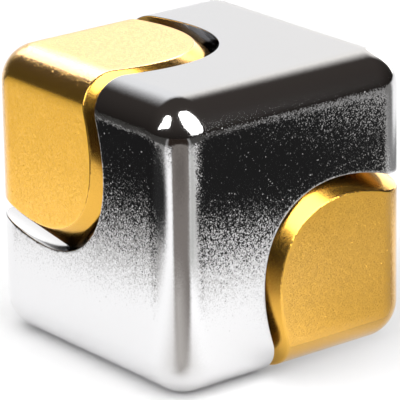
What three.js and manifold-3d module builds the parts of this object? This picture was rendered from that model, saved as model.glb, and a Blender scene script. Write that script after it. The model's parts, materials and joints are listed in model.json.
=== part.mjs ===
// A cube spinner: a chromed cube shell that spins about its body diagonal, on a deep-groove ball bearing,
// between two gold corner caps that are held between finger and thumb.
// Millimetres, +Z up, origin at the middle of the bottom face. The shell's faces lie along X, Y and Z.
import * as THREE from "three";
import { RoundedBoxGeometry } from "three/addons/geometries/RoundedBoxGeometry.js";
import { mergeVertices } from "three/addons/utils/BufferGeometryUtils.js";
import Module from "manifold-3d";

const wasm = await Module();
wasm.setup();

// The cube.
const EDGE = 25; // length of a cube edge
const EDGE_ROUNDING = 3.25; // radius of its rounded edges and corners
const SPIN_AXIS = new THREE.Vector3(-1, 1, 1).normalize(); // body diagonal, towards the upper cap
const CLEARANCE = 0.2; // between pieces that are pressed or clamped together
const BEYOND = EDGE; // cutting tools run past the cube by this much

// The ball bearing: 8 mm bore, 22 mm outside, 7 mm wide.
const BEARING = { bore: 8, outside: 22, width: 7 };
const PITCH_RADIUS = (BEARING.bore + BEARING.outside) / 4;
const BALLS = 7;
const BALL_RADIUS = 1.85;
const GROOVE_RADIUS = BALL_RADIUS + CLEARANCE;
const INNER_SHOULDER_RADIUS = 6.05; // the land on each side of the inner ring's groove
const OUTER_SHOULDER_RADIUS = 9.2; // the land on each side of the outer ring's groove
const SHIELD_RECESS = { radius: 9.9, depth: 1 }; // the step in the outer ring that takes a shield
const SHIELD_THICKNESS = 0.3;
const SNAP_RING = { width: 0.4, thickness: 0.3, opening: THREE.MathUtils.degToRad(50) };
const CAGE = { inner: 6.75, outer: 8.25, back: -2.3, front: 1 };

// The bore of the shell, along the spin axis.
const POCKET_RADIUS = 11.15; // open pocket round each cap, and the bearing's seat between them
const SEAT_SHOULDER = { radius: 10.4, thickness: 0.7 }; // the bearing is pressed in against it

// The rotor: two caps, clamped on the inner ring by a threaded stud.
const CAP_RADIUS = 10;
const CAP_BACK = 5.4; // distance of a cap's back face from the cube's centre
const CAP_BACK_ROUNDING = 1;
const SPACER = { inner: 4.1, outer: 5.8, thickness: 0.8 };
const CAP_BOSS_RADIUS = SPACER.outer;
const CAP_SEAT = BEARING.width / 2 + SPACER.thickness + 2 * CLEARANCE; // distance of a cap's boss
const BUSH = { outer: BEARING.bore / 2 - CLEARANCE, inner: 2.75, half: CAP_SEAT - CLEARANCE };
const STUD = { radius: 2.5, half: 12, chamfer: 0.5 };
const STUD_HOLE = { radius: BUSH.inner, depth: STUD.half + 0.5 };

// Sides of the round pieces.
const SIDES = { cut: 72, bearing: 40, small: 24 };

const chrome = { color: 0xd9d9dc, roughness: 0.16, metalness: 1 };
const gold = { color: 0xd9a441, roughness: 0.28, metalness: 1 };
const bearingSteel = { color: 0xb4b6b8, roughness: 0.2, metalness: 1 };
const shieldSteel = { color: 0x9a9c9e, roughness: 0.35, metalness: 1 };
const nylon = { color: 0xe9e2cf, roughness: 0.6, metalness: 0 };
const plainSteel = { color: 0x8b8d90, roughness: 0.4, metalness: 1 };

const cube = new THREE.Group();
cube.position.z = EDGE / 2;
const spindle = new THREE.Group(); // its Y axis is the spin axis
spindle.quaternion.setFromUnitVectors(new THREE.Vector3(0, 1, 0), SPIN_AXIS);
cube.add(spindle);

function addMesh(group, name, geometry, finish) {
  const mesh = new THREE.Mesh(geometry, new THREE.MeshStandardMaterial(finish));
  mesh.name = name;
  group.add(mesh);
}

// A closed geometry as a solid that can be joined and cut.
function solidOf(geometry) {
  const bare = geometry.clone();
  bare.deleteAttribute("normal");
  bare.deleteAttribute("uv");
  const merged = mergeVertices(bare);
  const vertProperties = new Float32Array(merged.attributes.position.array);
  const triVerts = new Uint32Array(merged.index.array);
  return new wasm.Manifold(new wasm.Mesh({ numProp: 3, vertProperties, triVerts }));
}

function geometryOf(solid) {
  const mesh = solid.getMesh();
  const geometry = new THREE.BufferGeometry();
  geometry.setAttribute("position", new THREE.BufferAttribute(mesh.vertProperties, 3));
  geometry.setIndex(new THREE.BufferAttribute(mesh.triVerts, 1));
  geometry.computeVertexNormals();
  return geometry;
}

// A body of revolution about Y. The profile runs upwards along the outside, as [radius, height] pairs,
// and either closes on itself or starts and ends on the axis.
function turned(profile, sides) {
  return new THREE.LatheGeometry(
    profile.map(([radius, height]) => new THREE.Vector2(radius, height)),
    sides,
  );
}

// A round piece with a hole through it: outer and inner radius, bottom and top.
function tube(outer, inner, bottom, top, sides) {
  return turned(
    [[inner, bottom], [outer, bottom], [outer, top], [inner, top], [inner, bottom]],
    sides,
  );
}

// Points on an arc in the profile's plane, from one angle to another.
function arc(radius, height, size, from, to, steps) {
  return Array.from({ length: steps + 1 }, (_, i) => {
    const angle = from + ((to - from) * i) / steps;
    return [radius + size * Math.cos(angle), height + size * Math.sin(angle)];
  });
}

function roundedCube() {
  const roundingSteps = 5;
  return solidOf(new RoundedBoxGeometry(EDGE, EDGE, EDGE, roundingSteps, EDGE_ROUNDING));
}

// The shell: six corners of the cube round one straight bore, with a shoulder below the bearing's seat.
function spinnerBody() {
  const seatBottom = -BEARING.width / 2 - CLEARANCE;
  const shoulderBottom = seatBottom - SEAT_SHOULDER.thickness;
  const bore = turned(
    [
      [0, -BEYOND],
      [POCKET_RADIUS, -BEYOND],
      [POCKET_RADIUS, shoulderBottom],
      [SEAT_SHOULDER.radius, shoulderBottom],
      [SEAT_SHOULDER.radius, seatBottom],
      [POCKET_RADIUS, seatBottom],
      [POCKET_RADIUS, BEYOND],
      [0, BEYOND],
    ],
    SIDES.cut,
  );
  bore.applyQuaternion(spindle.quaternion);
  return geometryOf(roundedCube().subtract(solidOf(bore)));
}

// A cap: one corner of the cube, turned to a round stem, with a boss and a blind hole at its back.
function cornerCap(direction) {
  const stem = turned(
    [
      [0, STUD_HOLE.depth],
      [STUD_HOLE.radius, STUD_HOLE.depth],
      [STUD_HOLE.radius, CAP_SEAT],
      [CAP_BOSS_RADIUS, CAP_SEAT],
      [CAP_BOSS_RADIUS, CAP_BACK],
      ...arc(
        CAP_RADIUS - CAP_BACK_ROUNDING,
        CAP_BACK + CAP_BACK_ROUNDING,
        CAP_BACK_ROUNDING,
        -Math.PI / 2,
        0,
        4,
      ),
      [CAP_RADIUS, BEYOND],
      [0, BEYOND],
    ],
    SIDES.cut,
  );
  const turn = new THREE.Quaternion().setFromUnitVectors(new THREE.Vector3(0, 1, 0), direction);
  stem.applyQuaternion(turn);
  return geometryOf(roundedCube().intersect(solidOf(stem)));
}

// Half the width of a ball groove where it meets a shoulder of the given radius.
function grooveHalfWidth(shoulderRadius) {
  return Math.sqrt(GROOVE_RADIUS ** 2 - (shoulderRadius - PITCH_RADIUS) ** 2);
}

function bearingOuterRing() {
  const half = BEARING.width / 2;
  const outer = BEARING.outside / 2;
  const step = half - SHIELD_RECESS.depth;
  const open = Math.asin(grooveHalfWidth(OUTER_SHOULDER_RADIUS) / GROOVE_RADIUS);
  return turned(
    [
      [SHIELD_RECESS.radius, -half],
      [outer, -half],
      [outer, half],
      [SHIELD_RECESS.radius, half],
      [SHIELD_RECESS.radius, step],
      [OUTER_SHOULDER_RADIUS, step],
      ...arc(PITCH_RADIUS, 0, GROOVE_RADIUS, open, -open, 6),
      [OUTER_SHOULDER_RADIUS, -step],
      [SHIELD_RECESS.radius, -step],
      [SHIELD_RECESS.radius, -half],
    ],
    SIDES.bearing,
  );
}

function bearingInnerRing() {
  const half = BEARING.width / 2;
  const open = Math.asin(grooveHalfWidth(INNER_SHOULDER_RADIUS) / GROOVE_RADIUS);
  return turned(
    [
      [BEARING.bore / 2, -half],
      [INNER_SHOULDER_RADIUS, -half],
      ...arc(PITCH_RADIUS, 0, GROOVE_RADIUS, Math.PI + open, Math.PI - open, 6),
      [INNER_SHOULDER_RADIUS, half],
      [BEARING.bore / 2, half],
      [BEARING.bore / 2, -half],
    ],
    SIDES.bearing,
  );
}

function ballCentre(index) {
  const angle = (2 * Math.PI * index) / BALLS;
  return new THREE.Vector3(PITCH_RADIUS * Math.cos(angle), 0, PITCH_RADIUS * Math.sin(angle));
}

// A crown cage: a ring whose round pockets are open on one side, so that it snaps over the balls.
function bearingCage() {
  let cage = solidOf(tube(CAGE.outer, CAGE.inner, CAGE.back, CAGE.front, SIDES.bearing));
  for (let i = 0; i < BALLS; i++) {
    const pocket = new THREE.SphereGeometry(BALL_RADIUS + CLEARANCE / 2, 16, 9);
    pocket.translate(...ballCentre(i));
    cage = cage.subtract(solidOf(pocket));
  }
  return geometryOf(cage);
}

// A thin washer that covers the balls, lying in the outer ring's step on the given side.
function bearingShield(side) {
  const start = BEARING.width / 2 - SHIELD_RECESS.depth + CLEARANCE / 2;
  const shield = tube(
    SHIELD_RECESS.radius - CLEARANCE,
    INNER_SHOULDER_RADIUS + 2 * CLEARANCE,
    start,
    start + SHIELD_THICKNESS,
    SIDES.bearing,
  );
  return side > 0 ? shield : shield.rotateX(Math.PI);
}

// The split ring that holds a shield in its step.
function snapRing(side) {
  const outer = SHIELD_RECESS.radius - CLEARANCE / 2;
  const inner = outer - SNAP_RING.width;
  const from = SNAP_RING.opening / 2;
  const to = 2 * Math.PI - from;
  const outline = new THREE.Shape();
  outline.absarc(0, 0, outer, from, to, false);
  outline.absarc(0, 0, inner, to, from, true);
  const ring = new THREE.ExtrudeGeometry(outline, {
    depth: SNAP_RING.thickness,
    bevelEnabled: false,
    curveSegments: SIDES.small,
  });
  const start = BEARING.width / 2 - SNAP_RING.thickness - CLEARANCE / 2;
  ring.translate(0, 0, start);
  return ring.rotateX((-side * Math.PI) / 2);
}

function capStud() {
  const { radius, half, chamfer } = STUD;
  return turned(
    [
      [0, -half],
      [radius - chamfer, -half],
      [radius, chamfer - half],
      [radius, half - chamfer],
      [radius - chamfer, half],
      [0, half],
    ],
    SIDES.small,
  );
}

function spacer(side) {
  const start = BEARING.width / 2 + CLEARANCE;
  const washer = tube(SPACER.outer, SPACER.inner, start, start + SPACER.thickness, SIDES.small);
  return side > 0 ? washer : washer.rotateX(Math.PI);
}

addMesh(cube, "spinner_body", spinnerBody(), chrome);
addMesh(cube, "upper_cap", cornerCap(SPIN_AXIS), gold);
addMesh(cube, "lower_cap", cornerCap(SPIN_AXIS.clone().negate()), gold);

addMesh(spindle, "bearing_outer_ring", bearingOuterRing(), bearingSteel);
addMesh(spindle, "bearing_inner_ring", bearingInnerRing(), bearingSteel);
addMesh(spindle, "bearing_cage", bearingCage(), nylon);
for (let i = 0; i < BALLS; i++) {
  const ball = new THREE.IcosahedronGeometry(BALL_RADIUS, 2);
  ball.translate(...ballCentre(i));
  addMesh(spindle, `bearing_ball_${i + 1}`, ball, bearingSteel);
}
for (const [place, side] of [["upper", 1], ["lower", -1]]) {
  addMesh(spindle, `${place}_shield`, bearingShield(side), shieldSteel);
  addMesh(spindle, `${place}_snap_ring`, snapRing(side), plainSteel);
  addMesh(spindle, `${place}_spacer`, spacer(side), plainSteel);
}
addMesh(spindle, "axle_bush", tube(BUSH.outer, BUSH.inner, -BUSH.half, BUSH.half, SIDES.small), plainSteel);
addMesh(spindle, "cap_stud", capStud(), plainSteel);

export default cube;
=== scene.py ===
# A chromed cube spinner with gold corner caps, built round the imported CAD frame, on a pale studio floor.
import json
import math

import bmesh
import bpy
import numpy as np
from mathutils import Matrix, Vector


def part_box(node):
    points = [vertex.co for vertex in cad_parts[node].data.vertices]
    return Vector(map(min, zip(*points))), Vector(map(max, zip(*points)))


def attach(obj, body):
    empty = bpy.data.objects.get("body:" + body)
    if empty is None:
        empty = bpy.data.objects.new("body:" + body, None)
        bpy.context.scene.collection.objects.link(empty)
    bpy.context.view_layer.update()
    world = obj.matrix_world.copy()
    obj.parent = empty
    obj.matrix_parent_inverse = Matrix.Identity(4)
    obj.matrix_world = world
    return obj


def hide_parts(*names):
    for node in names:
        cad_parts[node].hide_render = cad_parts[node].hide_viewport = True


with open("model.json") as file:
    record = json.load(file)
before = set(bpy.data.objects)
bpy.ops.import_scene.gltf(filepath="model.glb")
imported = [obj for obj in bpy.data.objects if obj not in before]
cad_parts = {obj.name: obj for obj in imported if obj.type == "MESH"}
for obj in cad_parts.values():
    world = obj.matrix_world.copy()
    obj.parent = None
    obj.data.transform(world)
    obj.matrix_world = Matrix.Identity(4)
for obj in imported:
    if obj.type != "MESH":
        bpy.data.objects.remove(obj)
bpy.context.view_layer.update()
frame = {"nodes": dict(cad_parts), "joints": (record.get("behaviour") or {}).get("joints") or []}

MM = 0.001

# ---------------------------------------------------------------- the cube, from the frame, in millimetres
LOW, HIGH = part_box("spinner_body")
EDGE = (HIGH.x - LOW.x) / MM
CENTRE = (LOW + HIGH) / 2 / MM
HALF = EDGE / 2
SPIN_AXIS = np.array(Vector(frame["joints"][0]["axis"]).normalized())

EDGE_ROUNDING = 3.25
POCKET_RADIUS = 11.15
CAP_RADIUS = 10.0
SHELL_RIM = 0.13  # width that is rounded off the rims of the bore
CAP_RIM = (0.15, 0.5)  # radius of a cap's rim where it is square, and where it is sharp or nearly flat
CLEARANCE = 0.2  # between pieces that are pressed or clamped together

# The bearing and the rotor's core. Heights are along the spin axis, from the cube's centre.
BEARING = {"bore": 4.0, "outside": 11.0, "half": 3.5}
PITCH_RADIUS = (BEARING["bore"] + BEARING["outside"]) / 2
BALLS = 7
GROOVE_RADIUS = 2.05
SHOULDER = {"inner": 6.05, "outer": 9.2}
RECESS = {"radius": 9.9, "depth": 1.0}
SHIELD = {
    "inner": SHOULDER["inner"] + 2 * CLEARANCE,
    "outer": RECESS["radius"] - CLEARANCE,
    "low": 2.6,
    "high": 2.9,
}
BEAD = {"radius": 8.0, "width": 0.5, "depth": 0.1}
SNAP_RING = {"inner": 9.4, "outer": 9.8, "low": 3.1, "high": 3.4, "opening": math.radians(50)}
SPACER = {"inner": 4.1, "outer": 5.8, "low": BEARING["half"] + CLEARANCE, "high": 4.5}
SEAT = {"shoulder": 10.4, "bottom": -BEARING["half"] - CLEARANCE, "thickness": 0.7}

# The caps, the stud through them and the bush round it.
CAP_BACK = 5.4
CAP_BACK_ROUNDING = 1.0
CAP_SEAT = SPACER["high"] + CLEARANCE
BOSS_RADIUS = SPACER["outer"]
STUD = {"radius": 2.5, "half": 12.0, "pitch": 0.8, "thread": 0.42, "chamfer": 0.6}
STUD_HOLE = {"radius": 2.75, "depth": STUD["half"] + 0.5}
BUSH = {
    "inner": STUD_HOLE["radius"],
    "outer": BEARING["bore"] - CLEARANCE,
    "low": CLEARANCE - CAP_SEAT,
    "high": CAP_SEAT - CLEARANCE,
}

# Two directions square to the spin axis; azimuth 0 is the first of them.
ACROSS = np.cross(SPIN_AXIS, [0.0, 0.0, 1.0])
ACROSS /= np.linalg.norm(ACROSS)
ALONG = np.cross(SPIN_AXIS, ACROSS)


# ---------------------------------------------------------------- mesh tools
SHARP_FROM = math.radians(40)


def placed(name, data):
    """A mesh, a light or a camera as an object of the scene."""
    piece = bpy.data.objects.new(name, data)
    bpy.context.scene.collection.objects.link(piece)
    return piece


def mesh_of(name, verts, faces):
    """A new mesh from points and faces, in metres."""
    mesh = bpy.data.meshes.new(name)
    mesh.from_pydata(verts, [], faces)
    return mesh


def in_place(points):
    """Points in millimetres about the cube's centre, as points of the scene in metres."""
    return ((points + np.array(CENTRE)) * MM).tolist()


def unit(vectors):
    return vectors / np.linalg.norm(vectors, axis=-1, keepdims=True)


def radial(azimuth):
    """Unit vectors square to the spin axis, one for each azimuth."""
    return np.cos(azimuth)[..., None] * ACROSS + np.sin(azimuth)[..., None] * ALONG


def cube_distance(points):
    """Distance of points from the surface of the rounded cube, negative inside."""
    reach = np.abs(points) - (HALF - EDGE_ROUNDING)
    outside = np.linalg.norm(np.maximum(reach, 0), axis=-1)
    inside = np.minimum(reach.max(axis=-1), 0)
    return outside + inside - EDGE_ROUNDING


def cube_normal(points):
    reach = np.maximum(np.abs(points) - (HALF - EDGE_ROUNDING), 0)
    return unit(np.sign(points) * reach)


def solve(function, low, high, steps=42):
    """Where a rising function of one array of unknowns crosses zero, by halving the interval."""
    low, high = low.copy(), high.copy()
    for _ in range(steps):
        middle = (low + high) / 2
        below = function(middle) < 0
        low = np.where(below, middle, low)
        high = np.where(below, high, middle)
    return (low + high) / 2


def on_cube(directions):
    """Points where rays from the cube's centre leave its surface."""
    start = np.full(directions.shape[:-1], 0.5 * HALF)
    reach = solve(lambda s: cube_distance(s[..., None] * directions), start, start * 4)
    return reach[..., None] * directions


def rim(azimuth, radius, side, outwards, fillet_for, steps):
    """The rounded rim between a round wall about the spin axis and the cube's surface.

    Rows of points from the wall to the cube's surface, for a ball rolled round the rim. fillet_for gives the
    ball's radius from the angle by which the surface turns there. outwards is +1 where the wall faces away
    from the axis, as on a cap, and -1 where it faces the axis.
    """
    out = radial(azimuth)
    zero = np.zeros_like(azimuth)

    def middle_of_ball(fillet):
        reach = (radius - outwards * fillet)[:, None] * out
        height = solve(
            lambda t: cube_distance(reach + side * t[:, None] * SPIN_AXIS) + fillet, zero, zero + 2 * HALF
        )
        return reach + side * height[:, None] * SPIN_AXIS

    first = outwards * out
    sharp = cube_normal(middle_of_ball(zero))
    fillet = fillet_for(np.arccos(np.clip((first * sharp).sum(-1), -1, 1)))
    middle = middle_of_ball(fillet)
    last = cube_normal(middle)
    angle = np.arccos(np.clip((first * last).sum(-1), -1, 1))[:, None]
    rows = []
    for step in range(steps + 1):
        share = step / steps
        mixed = (np.sin((1 - share) * angle) * first + np.sin(share * angle) * last) / np.sin(angle)
        rows.append(middle + fillet[:, None] * mixed)
    return rows


def shell_fillet(turn):
    """Cuts the same small width off the bore's rim all the way round, at its sharp and at its blunt parts."""
    return SHELL_RIM / np.tan(turn / 2)


def cap_fillet(turn):
    """Wider where the rim of a cap is sharp or nearly flat than where it is square."""
    return CAP_RIM[0] + (CAP_RIM[1] - CAP_RIM[0]) * np.cos(turn) ** 2


def polar(points):
    """Azimuth about the spin axis and angle from it, for each point."""
    along = points @ SPIN_AXIS
    azimuth = np.arctan2(points @ ALONG, points @ ACROSS)
    return azimuth, np.arccos(along / np.linalg.norm(points, axis=-1))


def skin(azimuth, start, end, rows, curve_weight=6.0, fine=700):
    """Rows of points over the cube's surface from start to end, closer together where it is rounded."""
    turn_start, tilt_start = polar(start)
    turn_end, tilt_end = polar(end)
    # Azimuths that differ from the row's own by less than half a turn.
    turn_start = azimuth + (turn_start - azimuth + np.pi) % (2 * np.pi) - np.pi
    turn_end = azimuth + (turn_end - azimuth + np.pi) % (2 * np.pi) - np.pi
    share = np.linspace(0, 1, fine)[:, None]
    turn = (1 - share) * turn_start + share * turn_end
    tilt = (1 - share) * tilt_start + share * tilt_end
    directions = np.sin(tilt)[..., None] * radial(turn) + np.cos(tilt)[..., None] * SPIN_AXIS
    points = on_cube(directions)
    normals = cube_normal(points)
    step = np.linalg.norm(np.diff(points, axis=0), axis=-1)
    bend = np.linalg.norm(np.diff(normals, axis=0), axis=-1)
    length = np.concatenate([np.zeros((1, len(azimuth))), np.cumsum(step + curve_weight * bend, axis=0)])
    wanted = np.linspace(0, 1, rows + 1)
    picked = np.empty((rows + 1, len(azimuth), 3))
    for column in range(len(azimuth)):
        at = np.interp(wanted * length[-1, column], length[:, column], np.arange(fine))
        index = at[:, None]
        whole = np.clip(index.astype(int), 0, fine - 2)[:, 0]
        part = (at - whole)[:, None]
        picked[:, column] = (1 - part) * directions[whole, column] + part * directions[whole + 1, column]
    return list(on_cube(unit(picked)))


def ring(azimuth, radius, height):
    """A row of points on a circle about the spin axis."""
    return radius * radial(azimuth) + height * SPIN_AXIS


def grid_mesh(name, rows, closed, zones, start_pole=None, end_pole=None):
    """A mesh from rows of points round the axis. zones gives the material index of each band of faces."""
    columns = len(rows[0])
    verts = np.concatenate(rows)
    poles = [p for p in (start_pole, end_pole) if p is not None]
    verts = np.concatenate([verts, np.array(poles).reshape(-1, 3)])
    faces = []
    materials = []
    bands = len(rows) if closed else len(rows) - 1
    for band in range(bands):
        above = band * columns
        below = (band + 1) % len(rows) * columns
        for column in range(columns):
            beside = (column + 1) % columns
            faces.append((above + column, below + column, below + beside, above + beside))
            materials.append(zones[band])
    pole = len(rows) * columns
    if start_pole is not None:
        for column in range(columns):
            faces.append((pole, column, (column + 1) % columns))
            materials.append(zones[0])
        pole += 1
    if end_pole is not None:
        last = (len(rows) - 1) * columns
        for column in range(columns):
            faces.append((pole, last + (column + 1) % columns, last + column))
            materials.append(zones[-1])
    mesh = mesh_of(name, in_place(verts), faces)
    mesh.polygons.foreach_set("material_index", materials)
    mesh.validate()
    mesh.shade_smooth()
    mesh.set_sharp_from_angle(angle=SHARP_FROM)
    return placed(name, mesh)


# ---------------------------------------------------------------- materials
class Nodes:
    """Short ways to add and join a material's nodes."""

    def __init__(self, name):
        self.material = bpy.data.materials.new(name)
        self.material.use_nodes = True
        self.tree = self.material.node_tree
        self.tree.nodes.clear()

    def add(self, kind, inputs=None, **settings):
        node = self.tree.nodes.new(kind)
        for key, value in settings.items():
            setattr(node, key, value)
        for key, value in (inputs or {}).items():
            if isinstance(value, bpy.types.NodeSocket):
                self.tree.links.new(value, node.inputs[key])
            else:
                node.inputs[key].default_value = value
        return node

    def math(self, operation, first, second=0.0, third=0.0):
        node = self.add("ShaderNodeMath", {0: first, 1: second, 2: third}, operation=operation)
        return node.outputs[0]

    def span(self, value, low, high, new_low=0.0, new_high=1.0):
        inputs = {"Value": value, "From Min": low, "From Max": high, "To Min": new_low, "To Max": new_high}
        return self.add("ShaderNodeMapRange", inputs, interpolation_type="SMOOTHSTEP").outputs[0]

    def noise(self, coordinates, scale, detail=2.0):
        inputs = {"Vector": coordinates, "Scale": scale, "Detail": detail}
        return self.add("ShaderNodeTexNoise", inputs).outputs["Fac"]

    def mix(self, share, first, second):
        """Two colours mixed, the second by the given share."""
        return self.add("ShaderNodeMix", {0: share, 6: first, 7: second}, data_type="RGBA").outputs[2]

    def vector(self, operation, first, second=None):
        inputs = {0: first} if second is None else {0: first, 1: second}
        return self.add("ShaderNodeVectorMath", inputs, operation=operation)

    def parts(self, vector):
        """The three sockets of a vector's parts."""
        return self.add("ShaderNodeSeparateXYZ", {0: vector}).outputs

    def surface(self, shader):
        """Ends the material with a shader."""
        output = self.add("ShaderNodeOutputMaterial")
        self.tree.links.new(shader, output.inputs["Surface"])
        return self.material

    def finish(self, colour, roughness, normal=None, metallic=1.0, coat=0.0):
        inputs = {"Base Color": colour, "Roughness": roughness, "Metallic": metallic}
        inputs.update({"Coat Weight": coat, "Coat IOR": 1.6, "Coat Roughness": 0.25})
        if normal is not None:
            inputs["Normal"] = normal
        return self.surface(self.add("ShaderNodeBsdfPrincipled", inputs).outputs[0])


def flatness(nodes, normal_parts):
    """1 on the cube's flat faces, 0 on its rounded edges."""
    sizes = [nodes.math("ABSOLUTE", normal_parts[i]) for i in range(3)]
    largest = nodes.math("MAXIMUM", nodes.math("MAXIMUM", sizes[0], sizes[1]), sizes[2])
    return nodes.span(largest, 0.93, 1.0)


def facets(nodes, place, size, spread, rare_spread, strength):
    """Normals of a fine cast grain: each grain lies at its own slight tilt, and a few lie at a steep one."""
    grains = nodes.add("ShaderNodeTexVoronoi", {"Vector": place, "Scale": 1 / (size * MM)})
    tilt = nodes.vector("SUBTRACT", grains.outputs["Color"], (0.5, 0.5, 0.5))
    pick = nodes.add("ShaderNodeTexWhiteNoise", {"Vector": grains.outputs["Position"]}).outputs["Value"]
    rare = nodes.math("MULTIPLY", nodes.math("POWER", pick, 20.0), rare_spread)
    amount = nodes.math("MULTIPLY", nodes.math("ADD", rare, spread), strength)
    scaled = nodes.vector("SCALE", tilt.outputs[0])
    nodes.tree.links.new(amount, scaled.inputs["Scale"])
    in_world = nodes.add(
        "ShaderNodeVectorTransform",
        {0: scaled.outputs[0]},
        vector_type="VECTOR",
        convert_from="OBJECT",
        convert_to="WORLD",
    )
    surface = nodes.add("ShaderNodeNewGeometry").outputs["Normal"]
    leaned = nodes.vector("ADD", surface, in_world.outputs[0])
    return nodes.vector("NORMALIZE", leaned.outputs[0]).outputs[0]


def plated_metal(name, colour, tint, roughness, grain, grain_on, metallic=(1.0, 1.0), coat=0.0):
    """Plating with a fine cast grain on the side faces, which fades out on the rounded edges.

    roughness and metallic run from the rounded edges to the flat faces. grain is the size of its grains in
    millimetres, how much they lean, and how much the odd one does. grain_on is how much of that is left on
    the rounded edges, and on the top.
    """
    nodes = Nodes(name)
    where = nodes.add("ShaderNodeTexCoord")
    place = where.outputs["Object"]
    normal_parts = nodes.parts(where.outputs["Normal"])
    flat = flatness(nodes, normal_parts)
    on_edges, on_top = grain_on
    by_edges = nodes.span(flat, 0.0, 1.0, on_edges, 1.0)
    by_height = nodes.span(normal_parts[2], 0.7, 1.0, 1.0, on_top)
    strength = nodes.math("MULTIPLY", by_edges, by_height)
    normal = facets(nodes, place, *grain, strength)
    patches = nodes.noise(place, 220.0, detail=3.0)
    speckle = nodes.noise(place, 1 / (grain[0] * MM), detail=1.0)
    share = nodes.math("MULTIPLY_ADD", patches, 0.3, nodes.math("MULTIPLY", speckle, 0.5))
    shade = nodes.mix(share, colour, tint)
    rough = nodes.span(nodes.math("ADD", flat, nodes.math("MULTIPLY", patches, 0.25)), 0.0, 1.2, *roughness)
    return nodes.finish(shade, rough, normal, nodes.span(flat, 0.0, 1.0, *metallic), coat)


def polished_metal(name, colour, tint, roughness, metallic=1.0, coat=0.0):
    """A turned or moulded surface, with a little waviness."""
    nodes = Nodes(name)
    place = nodes.add("ShaderNodeTexCoord").outputs["Object"]
    wave = nodes.noise(place, 350.0, detail=1.0)
    fine = nodes.noise(place, 9000.0, detail=1.0)
    bump = nodes.add(
        "ShaderNodeBump",
        {"Height": nodes.math("ADD", wave, nodes.math("MULTIPLY", fine, 0.05)), "Distance": 0.03 * MM},
    )
    shade = nodes.mix(nodes.math("MULTIPLY", fine, 0.3), colour, tint)
    rough = nodes.span(fine, 0.2, 0.8, roughness * 0.8, roughness * 1.3)
    return nodes.finish(shade, rough, bump.outputs[0], metallic, coat)


CHROME = plated_metal(
    "chrome_plating",
    colour=(0.82, 0.82, 0.825, 1),
    tint=(0.76, 0.76, 0.77, 1),
    roughness=(0.09, 0.07),
    grain=(0.085, 0.1, 0.14),
    grain_on=(0.2, 0.45),
)
# The bore's walls and the bearing's seat: the chrome darkened, a painted shade for the shade deep in the gaps
# round the caps.
SHADED_BORE_CHROME = polished_metal("bore_chrome_painted_shade", (0.3, 0.3, 0.31, 1), (0.24, 0.24, 0.25, 1), 0.07)
GOLD = plated_metal(
    "gold_plating",
    colour=(0.88, 0.5, 0.065, 1),
    tint=(0.76, 0.39, 0.035, 1),
    roughness=(0.2, 0.4),
    grain=(0.09, 0.3, 0.6),
    grain_on=(0.5, 0.7),
    metallic=(0.97, 0.72),
    coat=0.7,
)
GOLD_POLISHED = polished_metal("gold_polished", (0.78, 0.43, 0.06, 1), (0.7, 0.36, 0.045, 1), 0.2, coat=0.25)
BEARING_STEEL = polished_metal("bearing_steel", (0.75, 0.75, 0.76, 1), (0.66, 0.66, 0.67, 1), 0.12)
SHIELD_STEEL = polished_metal("shield_steel", (0.6, 0.6, 0.61, 1), (0.5, 0.5, 0.51, 1), 0.34)
SPRING_STEEL = polished_metal("spring_steel", (0.45, 0.45, 0.46, 1), (0.36, 0.36, 0.37, 1), 0.38)
ZINC = polished_metal("zinc_plated_steel", (0.58, 0.58, 0.6, 1), (0.46, 0.47, 0.5, 1), 0.3)
NYLON = polished_metal("natural_nylon", (0.86, 0.81, 0.68, 1), (0.78, 0.72, 0.58, 1), 0.5, metallic=0.0)


# ---------------------------------------------------------------- the shell and the caps
SHELL_GRID = {"columns": 600, "rows": 150}
CAP_GRID = {"columns": 480, "rows": 120, "corner_rows": 9}
RIM_STEPS = 6
NEAR_APEX = 0.004  # how far from its apex a cap's first ring of points lies, as a tangent
OUTER_FACE, WALL = 0, 1  # the materials of a shell or a cap, by index


def shell_casting():
    """The shell: the outside between the two mouths of the bore, and the bore with the bearing's seat."""
    azimuth = np.linspace(0, 2 * np.pi, SHELL_GRID["columns"], endpoint=False)
    upper = rim(azimuth, POCKET_RADIUS, 1, -1, shell_fillet, RIM_STEPS)
    lower = rim(azimuth, POCKET_RADIUS, -1, -1, shell_fillet, RIM_STEPS)
    outside = skin(azimuth, upper[-1], lower[-1], SHELL_GRID["rows"])
    bottom = SEAT["bottom"]
    step = bottom - SEAT["thickness"]
    seat = [
        ring(azimuth, POCKET_RADIUS, step),
        ring(azimuth, SEAT["shoulder"], step),
        ring(azimuth, SEAT["shoulder"], bottom),
        ring(azimuth, POCKET_RADIUS, bottom),
    ]
    rows = upper[:-1] + outside + lower[::-1][1:] + seat
    outer_bands = len(upper) - 1 + len(outside) - 1 + len(lower) - 1
    # The bore's walls and seat take the second material, the chrome darkened with painted shade.
    zones = [OUTER_FACE] * outer_bands + [WALL] * (len(seat) + 1)
    return grid_mesh("shell_casting", rows, True, zones)


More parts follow.
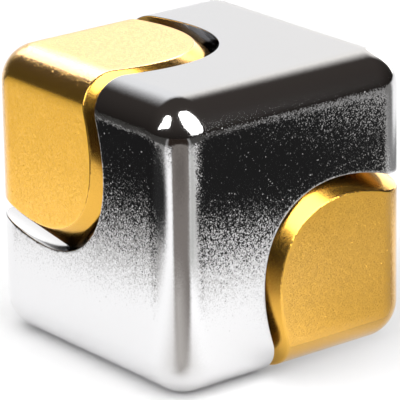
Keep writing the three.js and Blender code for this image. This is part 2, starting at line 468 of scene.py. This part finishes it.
def gold_cap(name, side):
    """A cap: a corner of the cube on a round stem, with a boss and a blind hole at its back."""
    azimuth = np.linspace(0, 2 * np.pi, CAP_GRID["columns"], endpoint=False)
    edge = rim(azimuth, CAP_RADIUS, side, 1, cap_fillet, RIM_STEPS)
    apex = on_cube(side * SPIN_AXIS[None])[0]
    near_apex = on_cube(unit(side * SPIN_AXIS + NEAR_APEX * radial(azimuth)))
    outside = skin(azimuth, near_apex, edge[-1], CAP_GRID["rows"])
    back_middle = CAP_BACK + CAP_BACK_ROUNDING
    corner = [
        ring(
            azimuth,
            CAP_RADIUS - CAP_BACK_ROUNDING * (1 - math.cos(angle)),
            side * (back_middle - CAP_BACK_ROUNDING * math.sin(angle)),
        )
        for angle in np.linspace(0, math.pi / 2, CAP_GRID["corner_rows"])
    ]
    back = [
        ring(azimuth, BOSS_RADIUS, side * CAP_BACK),
        ring(azimuth, BOSS_RADIUS, side * CAP_SEAT),
        ring(azimuth, STUD_HOLE["radius"], side * CAP_SEAT),
        ring(azimuth, STUD_HOLE["radius"], side * STUD_HOLE["depth"]),
    ]
    rows = outside + edge[::-1][1:] + corner + back
    zones = [OUTER_FACE] * (len(outside) - 1 + len(edge) - 1) + [WALL] * (len(corner) + len(back))
    hole_end = side * STUD_HOLE["depth"] * SPIN_AXIS
    if side < 0:
        rows = [row[::-1] for row in rows]
    return grid_mesh(name, rows, False, zones, start_pole=apex, end_pole=hole_end)


def fit(piece, materials, body, node):
    """Gives a piece its materials, ties it to its body and puts it in the place of a node of the frame."""
    for material in materials:
        piece.data.materials.append(material)
    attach(piece, body)
    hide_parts(node)


fit(shell_casting(), [CHROME, SHADED_BORE_CHROME], "shell", "spinner_body")

GOLD_PIECES = bpy.data.collections.new("gold_pieces")
for node, side in (("upper_cap", 1), ("lower_cap", -1)):
    cap = gold_cap("gold_" + node, side)
    fit(cap, [GOLD, GOLD_POLISHED], "rotor", node)
    GOLD_PIECES.objects.link(cap)
    cap.visible_diffuse = False  # keeps orange light off the floor

# ---------------------------------------------------------------- the bearing and the rotor's core
AROUND = np.linspace(0, 2 * np.pi, 128, endpoint=False)


def eased(corners, cut=0.15):
    """A closed profile with its corners cut."""
    points = [np.array(corner, dtype=float) for corner in corners]
    result = []
    for index, corner in enumerate(points):
        for other in (points[index - 1], points[(index + 1) % len(points)]):
            way = other - corner
            length = np.linalg.norm(way)
            result.append(corner + way / length * min(cut, 0.4 * length))
    return result


def groove(start, end, steps=14):
    """Points in the bottom of a ball groove, by angle about the middle of the balls in degrees."""
    angles = np.radians(np.linspace(start, end, steps))
    return [(PITCH_RADIUS + GROOVE_RADIUS * math.cos(a), GROOVE_RADIUS * math.sin(a)) for a in angles]


def groove_opening(shoulder):
    """The angle at which a groove meets a shoulder of the given radius, in degrees."""
    return math.degrees(math.acos(abs(shoulder - PITCH_RADIUS) / GROOVE_RADIUS))


def turned_piece(name, profile, side=1):
    """A body of revolution. Its profile of (radius, height) pairs runs down the outside and up the inside.

    side is -1 for a piece that lies turned over, below the cube's centre.
    """
    rows = [ring(AROUND, radius, side * height) for radius, height in profile]
    if side < 0:
        rows = [row[::-1] for row in rows]
    return grid_mesh(name, rows, True, [0] * len(rows))


def outer_ring():
    half, step = BEARING["half"], BEARING["half"] - RECESS["depth"]
    opening = groove_opening(SHOULDER["outer"])
    corners = [(BEARING["outside"], half), (BEARING["outside"], -half), (RECESS["radius"], -half)]
    corners += [(RECESS["radius"], -step), (SHOULDER["outer"], -step)]
    corners += groove(-opening, opening)
    corners += [(SHOULDER["outer"], step), (RECESS["radius"], step), (RECESS["radius"], half)]
    return turned_piece("ball_race_outer", eased(corners))


def inner_ring():
    half = BEARING["half"]
    opening = groove_opening(SHOULDER["inner"])
    corners = [(SHOULDER["inner"], half), *groove(180 - opening, 180 + opening), (SHOULDER["inner"], -half)]
    corners += [(BEARING["bore"], -half), (BEARING["bore"], half)]
    return turned_piece("ball_race_inner", eased(corners))


def washer(name, sizes, side, bead=None):
    """A flat ring with cut corners, and with a pressed bead round its upper side if one is given."""
    corners = [(sizes["outer"], sizes["high"]), (sizes["outer"], sizes["low"])]
    corners += [(sizes["inner"], sizes["low"]), (sizes["inner"], sizes["high"])]
    if bead:
        for angle in np.linspace(0, math.pi, 7):
            depth = bead["depth"] * math.sin(angle)
            corners.append((bead["radius"] - bead["width"] * math.cos(angle), sizes["high"] - depth))
    return turned_piece(name, eased(corners, 0.06), side)


def snap_ring(name, side):
    """A split ring of spring wire, whose opening faces the same way as on the frame."""
    to_axis = Vector((0, 1, 0)).rotation_difference(Vector(SPIN_AXIS))
    opening = np.array(to_axis @ Vector((1, 0, 0)))
    middle = math.atan2(opening @ ALONG, opening @ ACROSS)
    half_opening = SNAP_RING["opening"] / 2
    turns = middle + np.linspace(half_opening, 2 * np.pi - half_opening, 110)
    low, high = SNAP_RING["low"], SNAP_RING["high"]
    outer, inner = SNAP_RING["outer"], SNAP_RING["inner"]
    section = eased([(outer, high), (outer, low), (inner, low), (inner, high)], 0.08)
    rows = [ring(turns, radius, side * height) for radius, height in section]
    length = len(turns)
    faces = []
    for row in range(len(rows)):
        above = row * length
        below = (row + 1) % len(rows) * length
        for column in range(length - 1):
            faces.append((above + column, below + column, below + column + 1, above + column + 1))
    faces.append(tuple(row * length for row in reversed(range(len(rows)))))
    faces.append(tuple(row * length + length - 1 for row in range(len(rows))))
    if side < 0:
        faces = [face[::-1] for face in faces]
    mesh = mesh_of(name, in_place(np.concatenate(rows)), faces)
    mesh.shade_smooth()
    mesh.set_sharp_from_angle(angle=SHARP_FROM)
    return placed(name, mesh)


def threaded_stud():
    """A stud with a thread along its whole length and a chamfer at both ends."""
    slope, crest = 2.6, 0.15  # steepness of the thread's flanks, and how wide its crests stay
    half, pitch = STUD["half"], STUD["pitch"]
    azimuth = np.linspace(0, 2 * np.pi, 48, endpoint=False)
    heights = np.linspace(half, -half, int(2 * half / pitch * 10) + 1)
    rows = []
    for height in heights:
        phase = (height / pitch + azimuth / (2 * np.pi)) % 1.0
        flank = np.clip(np.abs(phase - 0.5) * slope - crest, 0, 1)
        from_end = half - abs(height)
        limit = STUD["radius"] - max(STUD["chamfer"] - from_end, 0.0)
        radius = np.minimum(STUD["radius"] - STUD["thread"] * flank, limit)
        rows.append(radius[:, None] * radial(azimuth) + height * SPIN_AXIS)
    return grid_mesh("threaded_stud", rows, False, [0] * (len(rows) - 1), half * SPIN_AXIS, -half * SPIN_AXIS)


def ball(name, centre, radius):
    """A ball, from its centre and radius in metres."""
    mesh = bpy.data.meshes.new(name)
    form = bmesh.new()
    bmesh.ops.create_uvsphere(form, u_segments=56, v_segments=28, radius=radius)
    bmesh.ops.translate(form, verts=form.verts, vec=centre)
    form.to_mesh(mesh)
    form.free()
    mesh.shade_smooth()
    return placed(name, mesh)


fit(outer_ring(), [BEARING_STEEL], "shell", "bearing_outer_ring")
fit(inner_ring(), [BEARING_STEEL], "rotor", "bearing_inner_ring")
for index in range(1, BALLS + 1):
    low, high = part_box(f"bearing_ball_{index}")
    steel_ball = ball(f"steel_ball_{index}", (low + high) / 2, (high.x - low.x) / 2)
    fit(steel_ball, [BEARING_STEEL], "cage", f"bearing_ball_{index}")
for place, side in (("upper", 1), ("lower", -1)):
    cover = washer(f"{place}_cover", SHIELD, side, BEAD)
    fit(cover, [SHIELD_STEEL], "shell", f"{place}_shield")
    wire = snap_ring(f"{place}_snap_wire", side)
    fit(wire, [SPRING_STEEL], "shell", f"{place}_snap_ring")
    spacer = washer(f"{place}_washer", SPACER, side)
    fit(spacer, [ZINC], "rotor", f"{place}_spacer")
fit(washer("stud_bush", BUSH, 1), [ZINC], "rotor", "axle_bush")
fit(threaded_stud(), [ZINC], "rotor", "cap_stud")

cage = frame["nodes"]["bearing_cage"]
cage.data.materials.clear()
cage.data.materials.append(NYLON)

# ---------------------------------------------------------------- studio
FLOOR_REACH = 1500.0
CLOTHS_REACH = 1400.0
CLOTHS_HEIGHT = 0.3
SWEEP = {"radius": 600.0, "height": 1000.0, "steps": 24}


def emission(name, colour, strength=1.0):
    nodes = Nodes(name)
    return nodes.surface(nodes.add("ShaderNodeEmission", {"Color": colour, "Strength": strength}).outputs[0])


def stage_mesh(name, verts, faces, material):
    """A piece of the studio, from points in metres."""
    mesh = mesh_of(name, verts, faces)
    mesh.materials.append(material)
    card = placed(name, mesh)
    return card


def level_card(name, reach, height, material):
    """A level square round the cube, in millimetres."""
    signs = ((-1, -1), (1, -1), (1, 1), (-1, 1))
    corners = [Vector((reach * east, reach * north, height)) * MM for east, north in signs]
    return stage_mesh(name, corners, [(0, 1, 2, 3)], material)


def only_reflected(card):
    """A card that is seen only in reflections, so that it stands in no view's way and casts no shadow."""
    card.visible_camera = False
    card.visible_diffuse = False
    card.visible_shadow = False
    card.visible_transmission = False
    card.visible_volume_scatter = False


def pale_floor():
    nodes = Nodes("pale_floor")
    place = nodes.add("ShaderNodeTexCoord").outputs["Object"]
    shade = nodes.mix(nodes.noise(place, 60.0), (0.9, 0.9, 0.905, 1), (0.88, 0.88, 0.885, 1))
    return level_card("floor", FLOOR_REACH, 0, nodes.finish(shade, 0.9, metallic=0.0))


floor = pale_floor()


class Layers:
    """Patches of colour laid over each other on a plane, in millimetres, clear where nothing lies."""

    def __init__(self, name):
        self.nodes = Nodes(name)
        parts = self.nodes.parts(self.nodes.add("ShaderNodeTexCoord").outputs["Object"])
        self.east = self.nodes.math("DIVIDE", parts[0], MM)
        self.north = self.nodes.math("DIVIDE", parts[1], MM)
        self.shader = self.nodes.add("ShaderNodeBsdfTransparent").outputs[0]

    def lay(self, cover, colour):
        glow = self.nodes.add("ShaderNodeEmission", {"Color": (*colour, 1), "Strength": 1.0})
        mixed = self.nodes.add("ShaderNodeMixShader", {0: cover, 1: self.shader, 2: glow.outputs[0]})
        self.shader = mixed.outputs[0]

    def distance(self, east, north):
        squares = [self.nodes.math("POWER", side, 2.0) for side in (east, north)]
        return self.nodes.math("SQRT", self.nodes.math("ADD", *squares))

    def outside(self, radius, softness, start, end, edge_softness, colour):
        """Everything beyond a radius, between two bearings in degrees."""
        nodes = self.nodes
        back_north = nodes.math("MULTIPLY", self.north, -1.0)
        back_east = nodes.math("MULTIPLY", self.east, -1.0)
        turned = nodes.math("ARCTAN2", back_north, back_east)
        bearing = nodes.math("ADD", nodes.math("DIVIDE", turned, math.radians(1)), 180.0)
        far = nodes.span(self.distance(self.east, self.north), radius - softness, radius + softness)
        after = nodes.span(bearing, start - edge_softness, start + edge_softness)
        before = nodes.span(bearing, end - edge_softness, end + edge_softness, 1.0, 0.0)
        self.lay(nodes.math("MULTIPLY", far, nodes.math("MULTIPLY", after, before)), colour)

    def streak(self, start, end, radii, softness, colour):
        """A patch round the line from start to end, whose radius changes from one of radii to the other."""
        nodes = self.nodes
        along = (end[0] - start[0], end[1] - start[1])
        squared = along[0] ** 2 + along[1] ** 2
        east = nodes.math("SUBTRACT", self.east, start[0])
        north = nodes.math("SUBTRACT", self.north, start[1])
        north_share = nodes.math("MULTIPLY", north, along[1] / squared)
        share = nodes.math("MULTIPLY_ADD", east, along[0] / squared, north_share)
        share = nodes.math("MINIMUM", nodes.math("MAXIMUM", share, 0.0), 1.0)
        off_east = nodes.math("SUBTRACT", east, nodes.math("MULTIPLY", share, along[0]))
        off_north = nodes.math("SUBTRACT", north, nodes.math("MULTIPLY", share, along[1]))
        radius = nodes.math("MULTIPLY_ADD", share, radii[1] - radii[0], radii[0])
        beyond = nodes.math("SUBTRACT", self.distance(off_east, off_north), radius)
        self.lay(nodes.span(beyond, -softness, softness, 1.0, 0.0), colour)


def floor_cloths_and_painted_shadows():
    """Dark cloths and painted shadows on the floor round the cube, which its sides reflect."""
    layers = Layers("floor_cloths_and_painted_shadows")
    # The dark room beyond the lit floor.
    layers.outside(79, 4, 98, 200, 4, (0.055, 0.053, 0.05))
    layers.outside(79, 4, 200, 256, 5, (0.03, 0.021, 0.017))
    layers.outside(79, 4, 256, 309, 4, (0.07, 0.067, 0.064))
    layers.outside(62, 10, 307, 345, 8, (0.22, 0.215, 0.21))
    # Soft shadows round the black cloths.
    layers.streak((-62, 70), (-62, 18), (33, 31), 8, (0.45, 0.44, 0.43))
    layers.streak((-62, 18), (-64, -6), (31, 17.5), 7, (0.45, 0.44, 0.43))
    layers.streak((10, -56), (44, -56), (22, 24), 9, (0.48, 0.47, 0.46))
    # The left cloth.
    layers.streak((-60, 60), (-60, 30), (25, 25), 4, (0.012, 0.012, 0.012))
    layers.streak((-60, 30), (-64, 2), (24, 14), 4, (0.012, 0.012, 0.012))
    layers.streak((-64, 4), (-63, -8), (14, 12.5), 6, (0.02, 0.02, 0.02))
    # The shadow that widens away from the nearest edge of the cube, and what is lighter in it.
    layers.streak((-14, -14), (-44, -56), (1, 26), 2.5, (0.24, 0.215, 0.2))
    layers.streak((-52, -52), (-40, -62), (4, 4), 14, (0.11, 0.095, 0.085))
    layers.streak((-18, -18), (-28, -26), (5, 5), 10, (0.6, 0.57, 0.54))
    layers.streak((-15, -46), (-14, -70), (5, 8), 5, (0.6, 0.6, 0.58))
    # Shadows to the right of the cube.
    layers.streak((56, 5), (56, -40), (9, 9), 9, (0.25, 0.25, 0.25))
    layers.streak((22, -20), (34, -34), (6, 8), 7, (0.45, 0.44, 0.42))
    layers.streak((13, -19), (30, -23), (6, 8), 4, (0.36, 0.34, 0.32))
    # The right cloth.
    layers.streak((8, -57), (24, -57), (12, 19.5), 4, (0.014, 0.014, 0.014))
    layers.streak((24, -57), (43, -57), (19.5, 14), 4, (0.014, 0.014, 0.014))
    layers.streak((36, -60), (41, -74), (13, 10), 5, (0.014, 0.014, 0.014))
    layers.streak((41, -74), (85, -138), (10, 12), 6, (0.014, 0.014, 0.014))
    material = layers.nodes.surface(layers.shader)
    only_reflected(level_card("floor_cloths_and_painted_shadows", CLOTHS_REACH, CLOTHS_HEIGHT, material))


floor_cloths_and_painted_shadows()


def sky_point(azimuth, elevation, distance):
    """A point in millimetres, in a direction from the cube given in degrees."""
    turn, rise = math.radians(azimuth), math.radians(elevation)
    way = Vector((math.cos(rise) * math.cos(turn), math.cos(rise) * math.sin(turn), math.sin(rise)))
    return Vector(CENTRE) + way * distance


def backdrop_sweep():
    """The white sweep behind the cube, which its top reflects. It fades out at the top and the ends."""
    nodes = Nodes("sweep_white")
    parts = nodes.parts(nodes.add("ShaderNodeTexCoord").outputs["Object"])
    top = nodes.span(parts[2], 0.4, 0.82, 1.0, 0.0)
    turn = nodes.math("ARCTAN2", parts[1], parts[0])
    left = nodes.span(turn, math.radians(68), math.radians(108), 1.0, 0.0)
    right = nodes.span(turn, math.radians(4), math.radians(22), 0.0, 1.0)
    cover = nodes.math("MULTIPLY", nodes.math("MULTIPLY", left, right), top)
    warm = nodes.span(turn, math.radians(35), math.radians(60), 0.0, 1.0)
    white = nodes.mix(warm, (1.0, 0.97, 0.93, 1), (0.93, 0.935, 0.95, 1))
    glow = nodes.add("ShaderNodeEmission", {"Color": white, "Strength": 1.0})
    clear = nodes.add("ShaderNodeBsdfTransparent")
    mixed = nodes.add("ShaderNodeMixShader", {0: cover, 1: clear.outputs[0], 2: glow.outputs[0]})
    radius, steps = SWEEP["radius"], SWEEP["steps"]
    bearings = [math.radians(2 + 110 * step / steps) for step in range(steps + 1)]
    verts = [
        Vector((radius * math.cos(bearing), radius * math.sin(bearing), height)) * MM
        for height in (0.0, SWEEP["height"])
        for bearing in bearings
    ]
    faces = [(i, i + 1, i + steps + 2, i + steps + 1) for i in range(steps)]
    only_reflected(stage_mesh("backdrop_sweep", verts, faces, nodes.surface(mixed.outputs[0])))


backdrop_sweep()


def studio_world():
    """A dark warm room, a little lighter overhead."""
    world = bpy.data.worlds.new("studio")
    bpy.context.scene.world = world
    world.use_nodes = True
    tree = world.node_tree
    way = tree.nodes.new("ShaderNodeTexCoord").outputs["Generated"]
    height = tree.nodes.new("ShaderNodeSeparateXYZ")
    tree.links.new(way, height.inputs[0])
    shade = tree.nodes.new("ShaderNodeMapRange")
    shade.inputs["From Min"].default_value = 0.0
    shade.inputs["From Max"].default_value = 0.8
    shade.inputs["To Min"].default_value = 0.016
    shade.inputs["To Max"].default_value = 0.045
    tree.links.new(height.outputs[2], shade.inputs["Value"])
    background = tree.nodes["Background"]
    background.inputs["Color"].default_value = (1.0, 0.84, 0.76, 1)
    tree.links.new(shade.outputs[0], background.inputs["Strength"])


studio_world()


def softbox_card(name, outline, radiance, distance=700.0):
    """A bright panel that is seen only in reflections, from the directions of its corners in degrees."""
    corners = [sky_point(azimuth, elevation, distance) * MM for azimuth, elevation in outline]
    middle = sum(corners, Vector()) / len(corners)
    count = len(corners)
    faces = [(i, (i + 1) % count, count) for i in range(count)]
    material = emission(name, (1.0, 0.99, 0.97, 1), radiance)
    only_reflected(stage_mesh(name, [*corners, middle], faces, material))


LIGHT_DISTANCE = 700.0


def fill_light(name, place, size, radiance, lit, colour=(1.0, 1.0, 1.0), glossy=False):
    """A broad soft light for the pieces of one collection.

    place is its azimuth and elevation and size its width and height, all in degrees as seen from the cube.
    Reflections miss it unless glossy is set.
    """
    data = bpy.data.lights.new(name, "AREA")
    data.shape = "RECTANGLE"
    data.size = 2 * LIGHT_DISTANCE * MM * math.tan(math.radians(size[0] / 2))
    data.size_y = 2 * LIGHT_DISTANCE * MM * math.tan(math.radians(size[1] / 2))
    data.energy = radiance * math.pi * data.size * data.size_y
    data.color = colour
    light = placed(name, data)
    position = sky_point(*place, LIGHT_DISTANCE)
    light.location = position * MM
    light.rotation_euler = (Vector(CENTRE) - position).to_track_quat("-Z", "Y").to_euler()
    light.visible_camera = False
    light.visible_glossy = glossy
    light.light_linking.receiver_collection = lit
    return light


# Outlines of the panels, as azimuths and elevations from the cube in degrees.
RIGHT_SOFTBOX = [
    (266, 8), (300, 8), (302, 19), (302, 40), (300, 56), (297, 68),
    (270, 75), (240, 75), (228, 67), (241, 48), (249, 30),
]
LEFT_SOFTBOX = [(168, 17), (184, 24), (200, 28), (200, 45), (193, 56), (180, 58), (167, 52), (172, 35)]
WINDOW = [(12, -2), (42, -2), (42, 8), (38, 20), (30, 28), (18, 30), (12, 20)]
softbox_card("right_softbox", RIGHT_SOFTBOX, 6.0)
softbox_card("left_softbox", LEFT_SOFTBOX, 6.0)
softbox_card("window", WINDOW, 2.6, distance=590.0)

STUDIO_PIECES = bpy.data.collections.new("studio_pieces")
STUDIO_PIECES.objects.link(floor)
fill_light("right_fill", (275, 42), (70, 70), 0.9, STUDIO_PIECES)
fill_light("left_fill", (184, 38), (60, 60), 1.6, STUDIO_PIECES)
fill_light("front_fill", (232, 50), (60, 60), 0.9, STUDIO_PIECES)
fill_light("top_fill", (52, 78), (70, 70), 1.4, STUDIO_PIECES)
floor_bounce = fill_light("left_gold_fill", (192, -30), (60, 36), 17.0, GOLD_PIECES)
floor_bounce.light_linking.blocker_collection = GOLD_PIECES
fill_light("top_gold_fill", (52, 80), (60, 60), 0.5, GOLD_PIECES)
fill_light("back_gold_light", (52, 40), (70, 30), 6.0, GOLD_PIECES, (0.92, 0.98, 1.7), glossy=True)


def white_surround():
    """A pale dome that only the camera sees, behind the edge of the floor."""
    bpy.ops.mesh.primitive_uv_sphere_add(segments=48, ring_count=24, radius=1.45)
    dome = bpy.context.object
    dome.name = "white_surround"
    dome.data.materials.append(emission("surround_white", (1, 1, 1, 1)))
    dome.visible_diffuse = False
    dome.visible_glossy = False
    dome.visible_shadow = False
    dome.visible_transmission = False


white_surround()

# ---------------------------------------------------------------- camera
CAMERA_AZIMUTH = math.radians(51.8 + 180)
CAMERA_ELEVATION = math.radians(18.97)
CAMERA_ROLL = math.radians(0.91)
CAMERA_DISTANCE = 11.45 * EDGE
CAMERA_SHIFT = -0.0257
SENSOR_WIDTH = 36.0
FOCAL_LENGTH = 310.23

camera_data = bpy.data.cameras.new("camera")
camera = placed("camera", camera_data)
back = Vector(
    (
        math.cos(CAMERA_ELEVATION) * math.cos(CAMERA_AZIMUTH),
        math.cos(CAMERA_ELEVATION) * math.sin(CAMERA_AZIMUTH),
        math.sin(CAMERA_ELEVATION),
    )
)
side = Vector((0, 0, 1)).cross(back).normalized()
up = back.cross(side)
turn = Matrix((side, up, back)).transposed() @ Matrix.Rotation(-CAMERA_ROLL, 3, "Z")
camera.matrix_world = Matrix.Translation((CENTRE + back * CAMERA_DISTANCE) * MM) @ turn.to_4x4()
camera_data.sensor_width = SENSOR_WIDTH
camera_data.lens = FOCAL_LENGTH
camera_data.shift_y = CAMERA_SHIFT
camera_data.clip_start = 0.01
camera_data.clip_end = 20
bpy.context.scene.camera = camera
bpy.context.scene.view_settings.view_transform = "Standard"
